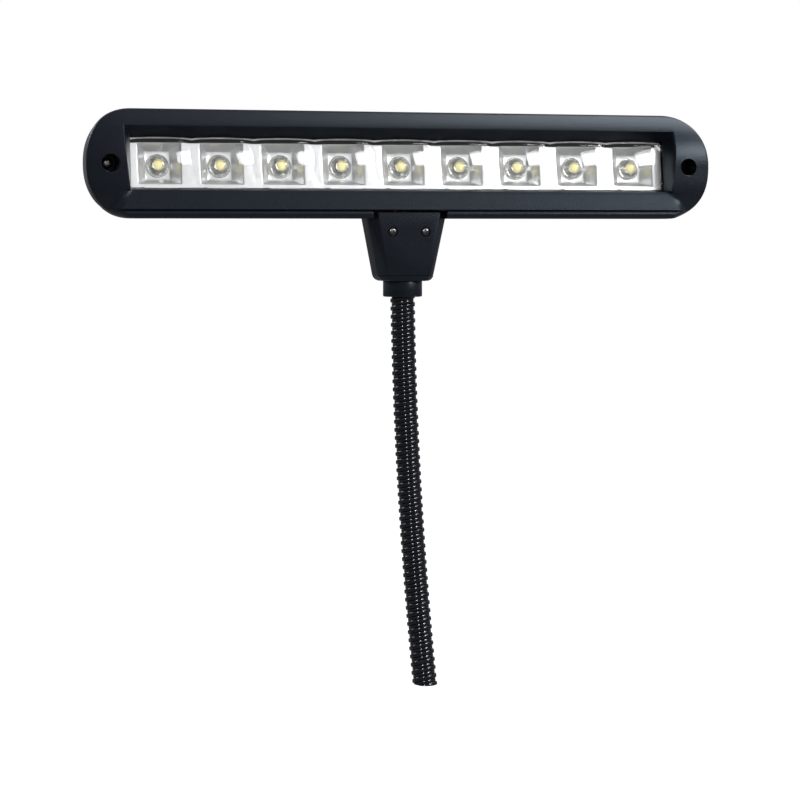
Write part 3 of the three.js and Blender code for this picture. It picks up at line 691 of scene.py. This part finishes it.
def make_lens():
    def swell(x, z):
        """Height of the nine shallow convex lenses, each a cap of a sphere."""
        dx = from_nearest_led(x)
        return np.maximum(0, LENS_CAP - (dx * dx + z * z) / (2 * LENS_SPHERE))

    def front(x, z):
        """The front, rolled back along its upper edge in a shallow arch over each lens."""
        start = LENS_ROLL - LENS_ROLL_ARCH * (2 * from_nearest_led(x) / LED_PITCH) ** 6
        return LENS_FRONT_Y - swell(x, z) + LENS_ROLL_DEPTH * ease((z - start) / LENS_ROLL_WIDTH)

    def back(x, z, y_front):
        return LENS_FRONT_Y + LENS_THICKNESS - LENS_BACK_SHARE * swell(x, z)

    steps = 24 * LED_COUNT
    width = LED_PITCH * LED_COUNT
    columns = [-115.6, -115.0] + [width * (i / steps - 0.5) for i in range(steps + 1)] + [115.0, 115.6]
    half_rows = [0, 1.2, 2.4, 3.6, 4.8, 6.0, 7.0, 7.8] + [8.2 + 0.2 * i for i in range(13)] + [11.0, 11.4]
    rows = [-z for z in reversed(half_rows[1:])] + half_rows
    return place(sheet("lens", rows, lambda z: columns, front, back), OPTICS, 40)


def make_led(index):
    """Dome with flange, the silver cup and frame inside it, and the phosphor."""
    dome = lathe("dome", [
        (0, 0), (4.4, 0), (4.5, 0.1), (4.5, 0.7), (4.4, 0.8), (4.0, 0.82), (3.9, 0.95), (3.9, 1.7),
        (3.84, 2.3), (3.66, 2.95), (3.36, 3.5), (2.92, 4.0), (2.35, 4.4), (1.65, 4.7), (0.85, 4.88),
        (0, 4.94)], 56)
    cup = lathe("cup", [
        (0, 0.06), (4.35, 0.06), (4.35, 0.25), (2.9, 0.4), (2.6, 0.6), (2.0, 2.7), (1.85, 2.7),
        (1.4, 2.2), (0, 2.2)], 40)
    chip = lathe("chip", [(0, 2.25), (1.3, 2.25), (1.3, 2.75), (1.05, 3.0), (0.6, 3.15), (0, 3.2)], 40)
    parts = [dome, cup, chip]  # in the order of the materials: resin, leadframe, phosphor
    for number, part in enumerate(parts):
        for polygon in part.data.polygons:
            polygon.material_index = number
    led = merge(f"led_body_{index + 1}", parts)
    led.data.transform(Matrix.Translation((led_x(index), LED_BASE, 0)) @ TO_FRONT)
    return place(led, OPTICS, 30)


# ------------------------------------------------------------------ gooseneck

def neck_point(t):
    """The bent neck's centre line, from the head (t = 0) to the foot (t = 1)."""
    side = LEAN_SIDE * (STRAIGHT_SHARE * t + (1 - STRAIGHT_SHARE) * t * t)
    front = LEAN_FRONT * t * t
    x = side * math.cos(LEAN_HEADING) - front * math.sin(LEAN_HEADING)
    y = -side * math.sin(LEAN_HEADING) - front * math.cos(LEAN_HEADING)
    return np.array([x, y, NECK_RISE * (1 - t)])


NECK_END = neck_point(1) * np.array([1, 1, 0])
PATH_T = np.linspace(1.03, -0.03, 1061)
PATH = np.array([neck_point(t) - NECK_END for t in PATH_T])
PATH_S = np.concatenate([[0], np.cumsum(np.linalg.norm(np.diff(PATH, axis=0), axis=1))])
PATH_S -= np.interp(0, PATH[:, 2], PATH_S)  # zero where the path meets the mounting plane


def path_at(s):
    """Centre, tangent and the two cross directions at arc lengths s."""
    s = np.atleast_1d(np.asarray(s, float))
    centre = np.stack([np.interp(s, PATH_S, PATH[:, k]) for k in range(3)], -1)
    step = 0.5
    ahead = np.stack([np.interp(s + step, PATH_S, PATH[:, k]) for k in range(3)], -1)
    behind = np.stack([np.interp(s - step, PATH_S, PATH[:, k]) for k in range(3)], -1)
    tangent = ahead - behind
    tangent /= np.linalg.norm(tangent, axis=1, keepdims=True)
    right = np.array([1.0, 0, 0]) - tangent * tangent[:, :1]
    right /= np.linalg.norm(right, axis=1, keepdims=True)
    return centre, tangent, right, np.cross(tangent, right)


def s_of(t):
    """Arc length above the mounting plane at a place t of neck_point."""
    return float(np.interp(-t, -PATH_T, PATH_S))


def mirrored(half):
    """A closed section from its upper half, listed from the inside outwards."""
    return [(r, a) for r, a in half] + [(r, -a) for r, a in reversed(half) if a > 0]


# Half sections of the two strands: (distance from the neck's axis, half width along it).
RAISED = mirrored([(3.6, 0.84), (4.80, 0.84), (4.98, 0.78), (5.08, 0.63), (5.13, 0.38), (5.15, 0.0)])
RECESSED = mirrored([(3.6, 0.83), (4.30, 0.83), (4.46, 0.70), (4.57, 0.44), (4.62, 0.0)])


def strand(name, section, s_from, s_to, offset):
    """One helical strand between two arc lengths. offset turns it about the neck."""
    count = int((s_to - s_from) / COIL_PITCH * SAMPLES_PER_TURN) + 1
    s = np.linspace(s_from, s_to, count)
    centre, tangent, right, cross = path_at(s)
    angle = 2 * math.pi * s / COIL_PITCH + offset
    radial = right * np.cos(angle)[:, None] + cross * np.sin(angle)[:, None]
    vertices = np.concatenate([centre + radial * r + tangent * a for r, a in section])
    sides = len(section)
    faces = []
    for k in range(sides):
        a, b = k * count, (k + 1) % sides * count
        faces += [(a + i, a + i + 1, b + i + 1, b + i) for i in range(count - 1)]
    faces.append(tuple(k * count for k in range(sides)))
    faces.append(tuple(k * count + count - 1 for k in reversed(range(sides))))
    return new_object(name, vertices, faces)


def make_coil(name, s_from, s_to):
    return merge(name, [strand("raised", RAISED, s_from, s_to, 0.0),
                        strand("recessed", RECESSED, s_from, s_to, math.pi)])


def cut_flat(obj):
    """Cuts a piece of the neck off at the mounting plane."""
    return carve(obj, hull("below", [(x, y, z) for x in (-15, 15) for y in (-15, 15) for z in (-12, 0)]))


# ------------------------------------------------------------------ materials

def node_material(name):
    material = bpy.data.materials.new(name)
    material.use_nodes = True
    tree = material.node_tree
    return material, tree, tree.nodes["Principled BSDF"]


def add_noise(tree, scale, detail=3.0, rough=0.55, stretch=None):
    """Noise in the object's own space; scale is in features per metre."""
    coordinates = tree.nodes.new("ShaderNodeTexCoord")
    noise = tree.nodes.new("ShaderNodeTexNoise")
    noise.inputs["Scale"].default_value = scale
    noise.inputs["Detail"].default_value = detail
    noise.inputs["Roughness"].default_value = rough
    source = coordinates.outputs["Object"]
    if stretch:
        mapping = tree.nodes.new("ShaderNodeMapping")
        mapping.inputs["Scale"].default_value = stretch
        tree.links.new(source, mapping.inputs["Vector"])
        source = mapping.outputs["Vector"]
    tree.links.new(source, noise.inputs["Vector"])
    return noise.outputs["Fac"]


def remap(tree, value, low, high):
    """Spreads the middle of a noise over low to high."""
    node = tree.nodes.new("ShaderNodeMapRange")
    node.inputs["From Min"].default_value = 0.3
    node.inputs["From Max"].default_value = 0.7
    node.inputs["To Min"].default_value = low
    node.inputs["To Max"].default_value = high
    tree.links.new(value, node.inputs["Value"])
    return node.outputs["Result"]


def add_bump(tree, bsdf, value, depth_mm):
    bump = tree.nodes.new("ShaderNodeBump")
    bump.inputs["Distance"].default_value = depth_mm * MM
    bump.inputs["Strength"].default_value = 1.0
    tree.links.new(value, bump.inputs["Height"])
    tree.links.new(bump.outputs["Normal"], bsdf.inputs["Normal"])


def finish_material(name, base, roughness, metallic=0.0, *, tone=0.15, grain=2500.0, grain_depth=0.0,
                    coat=0.0, coat_roughness=0.1, ior=1.5, stretch=None, tint=(1, 1, 1)):
    """A painted, moulded or metal surface with a slight unevenness in tone, gloss and height.
    grain is in features per metre, and grain_depth in millimetres."""
    material, tree, bsdf = node_material(name)
    cloud = add_noise(tree, 60.0, 4.0)
    mix = tree.nodes.new("ShaderNodeMix")
    mix.data_type = "RGBA"
    mix.inputs["A"].default_value = (*[c * (1 - tone) for c in base], 1)
    mix.inputs["B"].default_value = (*[min(1.0, c * (1 + tone)) for c in base], 1)
    tree.links.new(cloud, mix.inputs["Factor"])
    tree.links.new(mix.outputs["Result"], bsdf.inputs["Base Color"])
    fine = add_noise(tree, grain, 2.0, stretch=stretch)
    tree.links.new(remap(tree, fine, roughness - 0.04, roughness + 0.04), bsdf.inputs["Roughness"])
    bsdf.inputs["Metallic"].default_value = metallic
    bsdf.inputs["IOR"].default_value = ior
    bsdf.inputs["Specular Tint"].default_value = (*tint, 1)
    bsdf.inputs["Coat Weight"].default_value = coat
    bsdf.inputs["Coat Roughness"].default_value = coat_roughness
    if grain_depth:
        add_bump(tree, bsdf, fine, grain_depth)
    return material


def clear_material(name, tint, roughness, ior):
    """Clear moulding: it refracts, and lets light through to what is behind it."""
    material, tree, bsdf = node_material(name)
    bsdf.inputs["Base Color"].default_value = (*tint, 1)
    bsdf.inputs["IOR"].default_value = ior
    bsdf.inputs["Transmission Weight"].default_value = 1.0
    ripple = add_noise(tree, 90.0, 2.0)
    tree.links.new(remap(tree, ripple, roughness, roughness + 0.015), bsdf.inputs["Roughness"])
    add_bump(tree, bsdf, ripple, 0.004)
    straight = tree.nodes.new("ShaderNodeBsdfTransparent")
    straight.inputs["Color"].default_value = (*[0.93 * c for c in tint], 1)
    paths = tree.nodes.new("ShaderNodeLightPath")
    mix = tree.nodes.new("ShaderNodeMixShader")
    tree.links.new(paths.outputs["Is Shadow Ray"], mix.inputs["Fac"])
    tree.links.new(bsdf.outputs["BSDF"], mix.inputs[1])
    tree.links.new(straight.outputs["BSDF"], mix.inputs[2])
    tree.links.new(mix.outputs["Shader"], tree.nodes["Material Output"].inputs["Surface"])
    return material


COOL_SHEEN = (0.72, 0.85, 1.0)  # the black plastic reflects slightly blue
PLASTIC = finish_material("moulded black plastic", (0.0055, 0.0075, 0.0125), 0.33,
                          grain=1500.0, grain_depth=0.07, tint=COOL_SHEEN)
COLLAR = finish_material("gloss black collar", (0.006, 0.008, 0.013), 0.32,
                         grain=900.0, grain_depth=0.002, tint=COOL_SHEEN)
COIL = finish_material("black lacquered steel wire", (0.0015, 0.002, 0.0045), 0.16,
                       grain=1500.0, grain_depth=0.003, coat=0.5, coat_roughness=0.06, ior=1.35)
SCREW = finish_material("blackened steel", (0.075, 0.075, 0.08), 0.2, 0.95, grain_depth=0.003)
MIRROR = finish_material("metallised reflector", (0.88, 0.885, 0.89), 0.36, 1.0, tone=0.02, grain=500.0,
                         grain_depth=0.004)
LENS = clear_material("clear acrylic", (1.0, 1.0, 1.0), 0.0, 1.49)
DOME = clear_material("clear resin", (1.0, 0.995, 0.97), 0.0, 1.5)
LEADFRAME = finish_material("silver leadframe", (0.75, 0.75, 0.74), 0.25, 1.0, tone=0.05, grain=1200.0)
PHOSPHOR = finish_material("pale yellow phosphor with painted glow", (0.86, 0.8, 0.42), 0.5, tone=0.08, grain=4000.0)
painted_glow_inputs = PHOSPHOR.node_tree.nodes["Principled BSDF"].inputs
# Painted light: the LEDs are off, and this faint yellow emission brightens the phosphor in place of the
# light that barely reaches it inside the clear dome.
painted_glow_inputs["Emission Color"].default_value = (0.9, 0.82, 0.42, 1)
painted_glow_inputs["Emission Strength"].default_value = 0.4
BOARD = finish_material("green circuit board", (0.02, 0.085, 0.035), 0.4, tone=0.2,
                        grain=700.0, grain_depth=0.003)
RESISTOR = finish_material("black chip resistor", (0.012, 0.012, 0.012), 0.45,
                           grain=3000.0, grain_depth=0.004)
STEEL = finish_material("plated steel", (0.52, 0.52, 0.54), 0.28, 1.0, grain=1800.0, stretch=(1, 1, 12))
CABLE = finish_material("black cable jacket", (0.012, 0.012, 0.013), 0.55, grain=1500.0, grain_depth=0.01)
NYLON = finish_material("black nylon", (0.012, 0.012, 0.013), 0.5, grain=1800.0, grain_depth=0.008)
RUBBER = finish_material("black rubber plug", (0.014, 0.014, 0.015), 0.65, grain=2200.0, grain_depth=0.01)
RED_LEAD = finish_material("red wire insulation", (0.42, 0.02, 0.02), 0.4,
                           grain=1500.0, grain_depth=0.003)
BLACK_LEAD = finish_material("black wire insulation", (0.012, 0.012, 0.012), 0.4,
                             grain=1500.0, grain_depth=0.003)


def dress(obj, *materials):
    # clearing an empty list would still reset the faces' material numbers
    if obj.data.materials:
        obj.data.materials.clear()
    for material in materials:
        obj.data.materials.append(material)


# ------------------------------------------------------------------ assembly

def mount(obj, body, slot, materials, *nodes):
    """Puts a finished piece on its body, in place of the nodes it is made from."""
    dress(obj, *materials)
    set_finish(obj, slot)
    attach(obj, body)
    if nodes:
        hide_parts(*nodes)


mount(make_bezel(), "lamp_head", "housing_plastic", [PLASTIC], "front_bezel")
mount(make_housing(), "lamp_head", "housing_plastic", [PLASTIC], "rear_housing")
mount(make_cover(), "lamp_head", "housing_plastic", [PLASTIC], "neck_cover")
for label, side, turn in (("left", -1, 18), ("right", 1, -31)):
    bezel_screw = make_screw(f"bezel_pan_screw_{label}", 2.35, 2.0, 1.35, 7.0,
                             side * BEZEL_SCREW_X, -0.92, 0, turn)
    mount(bezel_screw, "lamp_head", "screw_black", [SCREW], f"bezel_screw_{label}")
    cover_screw = make_screw(f"cover_pan_screw_{label}", 1.75, 1.4, 0.9, 8.6,
                             side * COVER_SCREW[0], -9.22, COVER_SCREW[1], turn + 40)
    mount(cover_screw, "lamp_head", "screw_black", [SCREW], f"cover_screw_{label}")
mount(make_reflector(), "lamp_head", "reflector_metallised", [MIRROR], "reflector_strip")
mount(make_lens(), "lamp_head", "lens_clear", [LENS], "lens_cover")
for i in range(LED_COUNT):
    mount(make_led(i), "lamp_head", "led_resin", [DOME, LEADFRAME, PHOSPHOR], f"led_{i + 1}")


def make_collar():
    ring = lathe("collar_ring", [
        (5.45, COLLAR_BOTTOM + 0.15), (5.6, COLLAR_BOTTOM), (7.55, COLLAR_BOTTOM),
        (7.85, COLLAR_BOTTOM + 0.07), (8.05, COLLAR_BOTTOM + 0.27),
        (COLLAR_RADIUS, COLLAR_BOTTOM + 0.55), (COLLAR_RADIUS, COLLAR_TOP - 0.35),
        (8.05, COLLAR_TOP - 0.13), (7.85, COLLAR_TOP), (THROAT_RADIUS, COLLAR_TOP),
        (THROAT_RADIUS, COLLAR_SHELF), (5.45, COLLAR_SHELF)], 96)
    return place(ring, HEAD)


mount(make_collar(), "lamp_head", "collar_plastic", [COLLAR], "neck_collar")

# The winding runs through in one piece. Each length spans one hinge.
joints = frame["joints"]
chain = [joints[0]["parent"]] + [joint["child"] for joint in joints]
segments = len(chain)
middles = [s_of(1 - (k + 0.5) / segments) for k in range(segments)]
base_coil = make_coil("coil_base", -3.0, middles[0])
cut_flat(base_coil)
mount(place(base_coil, ROW), chain[0], "gooseneck_metal", [COIL], "neck_segment_1")
for k in range(segments - 1):
    coil = place(make_coil(f"coil_{k + 1}", middles[k], middles[k + 1]), ROW)
    dress(coil, COIL)
    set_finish(coil, "gooseneck_metal")
    start = path_at(middles[k] + BLEND_MARGIN)[0][0] * MM
    end = path_at(middles[k + 1] - BLEND_MARGIN)[0][0] * MM
    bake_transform(coil)
    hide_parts(f"neck_segment_{k + 2}")
mount(place(make_coil("coil_top", middles[-1], s_of(0) + 3.5), ROW), chain[-1], "gooseneck_metal", [COIL])

plug = lathe("end_plug", [(0, -3), (3.3, -3), (3.3, 6.1), (2.9, 6.5), (0, 6.5)], 48)
tangent = Vector(path_at(0.0)[1][0])
plug.data.transform(tangent.to_track_quat("Z", "Y").to_matrix().to_4x4())
cut_flat(plug)
mount(place(plug, ROW), chain[0], "plug_rubber", [RUBBER], "neck_end_plug")

CARRIED = {
    "led_board": ("circuit_board", BOARD), "neck_nipple": ("fitting_steel", STEEL),
    "neck_nut": ("fitting_steel", STEEL), "cable_clamp": ("clamp_nylon", NYLON),
    "cable_head": ("cable_jacket", CABLE), "lead_positive": ("lead_red", RED_LEAD),
    "lead_negative": ("lead_black", BLACK_LEAD)}
for i in (1, 2, 3):
    CARRIED[f"resistor_{i}"] = ("resistor_body", RESISTOR)
for i in range(1, segments + 1):
    CARRIED[f"cable_segment_{i}"] = ("cable_jacket", CABLE)
for node, (slot, material) in CARRIED.items():
    dress(frame["nodes"][node], material)
    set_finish(frame["nodes"][node], slot)

# ------------------------------------------------------------------ stage

# The foot is meant to be held, and the bent neck swings the head below it: the floor is lower still.
FLOOR_Z = -0.15


def camera_only(tree, normal, seen, output):
    """Links one shader for the camera and another for everything else to an output node."""
    paths = tree.nodes.new("ShaderNodeLightPath")
    mix = tree.nodes.new("ShaderNodeMixShader")
    tree.links.new(paths.outputs["Is Camera Ray"], mix.inputs["Fac"])
    tree.links.new(normal, mix.inputs[1])
    tree.links.new(seen, mix.inputs[2])
    tree.links.new(mix.outputs["Shader"], tree.nodes[output].inputs["Surface"])


def make_floor_material():
    """A pale floor that the camera sees bright and evenly lit, fading to white with distance."""
    material, tree, bsdf = node_material("pale floor")
    bsdf.inputs["Base Color"].default_value = (0.3, 0.3, 0.3, 1)
    bsdf.inputs["Roughness"].default_value = 0.9
    geometry = tree.nodes.new("ShaderNodeNewGeometry")
    reach = tree.nodes.new("ShaderNodeVectorMath")
    reach.operation = "LENGTH"
    tree.links.new(geometry.outputs["Position"], reach.inputs[0])
    fade = tree.nodes.new("ShaderNodeMapRange")
    fade.inputs["From Min"].default_value = 0.1
    fade.inputs["From Max"].default_value = 1.0
    fade.inputs["To Min"].default_value = 0.84
    fade.inputs["To Max"].default_value = 1.0
    tree.links.new(reach.outputs["Value"], fade.inputs["Value"])
    glow = tree.nodes.new("ShaderNodeEmission")
    glow.inputs["Color"].default_value = (1, 1, 1, 1)
    tree.links.new(fade.outputs["Result"], glow.inputs["Strength"])
    both_shaders = tree.nodes.new("ShaderNodeAddShader")
    tree.links.new(bsdf.outputs["BSDF"], both_shaders.inputs[0])
    tree.links.new(glow.outputs["Emission"], both_shaders.inputs[1])
    camera_only(tree, bsdf.outputs["BSDF"], both_shaders.outputs["Shader"], "Material Output")
    return material


def make_world():
    """A pale surround that lights the lamp dimly and shows white to the camera."""
    world = bpy.data.worlds.new("studio")
    world.use_nodes = True
    tree = world.node_tree
    surround = tree.nodes["Background"]
    surround.inputs["Color"].default_value = (0.93, 0.96, 1.0, 1)
    surround.inputs["Strength"].default_value = 0.28
    white = tree.nodes.new("ShaderNodeBackground")
    white.inputs["Color"].default_value = (1, 1, 1, 1)
    white.inputs["Strength"].default_value = 1.0
    camera_only(tree, surround.outputs["Background"], white.outputs["Background"], "World Output")
    return world


bpy.ops.mesh.primitive_plane_add(size=12, location=(0, 0, FLOOR_Z))
floor = bpy.context.object
floor.name = "floor"
floor.data.materials.append(make_floor_material())
scene.world = make_world()


def softbox(name, position, target, width, height, radiance, colour=(1, 1, 1)):
    """An area light whose face has the given radiance."""
    light = bpy.data.lights.new(name, "AREA")
    light.shape = "RECTANGLE"
    light.size, light.size_y = width, height
    light.energy = radiance * math.pi * width * height
    light.color = colour
    obj = bpy.data.objects.new(name, light)
    scene.collection.objects.link(obj)
    obj.location = position
    obj.rotation_euler = (Vector(target) - Vector(position)).to_track_quat("-Z", "Y").to_euler()
    obj.visible_camera = False
    return obj


MIDDLE = HEAD.translation


def light_from(name, azimuth, elevation, distance, width, height, radiance, colour=(1, 1, 1)):
    """A softbox seen from the head. Azimuth 0 is straight in front and grows to the right."""
    a, e = math.radians(azimuth), math.radians(elevation)
    way = Vector((math.sin(a) * math.cos(e), -math.cos(a) * math.cos(e), math.sin(e)))
    return softbox(name, MIDDLE + way * distance, MIDDLE, width, height, radiance, colour)


def link_light(light, slots, state="INCLUDE"):
    """Keeps a light to the pieces in some material slots, or away from them."""
    chosen = bpy.data.collections.new(f"lit_by_{light.name}")
    for obj in scene.objects:
        if obj.get("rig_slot") in slots:
            chosen.objects.link(obj)
    light.light_linking.receiver_collection = chosen
    for member in chosen.collection_objects:
        member.light_linking.link_state = state


light_from("key", -125, 32, 1.6, 0.6, 0.6, 9.0, (0.93, 0.97, 1.0))
right = light_from("right", 41, 22, 1.6, 0.7, 0.36, 11.0)
link_light(right, ("reflector_metallised", "led_resin"), "EXCLUDE")
light_from("overhead", 80, 55, 1.1, 0.6, 0.6, 5.5)

# The metallised strip gets a broad light of its own, so that it shows white as a satin mirror does,
# and the wound neck two narrow ones that draw a line of glints along each side.
front = light_from("front", 9, 17, 1.4, 1.6, 0.8, 3.6)
link_light(front, ("reflector_metallised", "led_resin", "screw_black"))
for side, azimuth in (("left", -26), ("right", 33)):
    glint = light_from(f"glint_{side}", azimuth, 22, 1.6, 0.12, 0.5, 55.0)
    link_light(glint, ("gooseneck_metal", "screw_black"))

# ------------------------------------------------------------------ camera

CAMERA_PLACE = (-0.2648, -0.8861, 0.1887)
CAMERA_DIP = math.radians(4.385)  # how far below level it looks
CAMERA_HEADING = math.radians(-16)
CAMERA_LENS = 101.8

camera_data = bpy.data.cameras.new("camera")
camera_data.sensor_width = 36.0
camera_data.lens = CAMERA_LENS
camera = bpy.data.objects.new("camera", camera_data)
scene.collection.objects.link(camera)
camera.location = CAMERA_PLACE
camera.rotation_euler = (math.pi / 2 - CAMERA_DIP, 0, CAMERA_HEADING)
bpy.context.scene.camera = camera
scene.view_settings.view_transform = "Standard"
scene.cycles.use_denoising = True
scene.cycles.max_bounces = 16
scene.cycles.transmission_bounces = 12
scene.cycles.transparent_max_bounces = 16
scene.cycles.glossy_bounces = 6
scene.cycles.caustics_reflective = True
scene.cycles.caustics_refractive = True
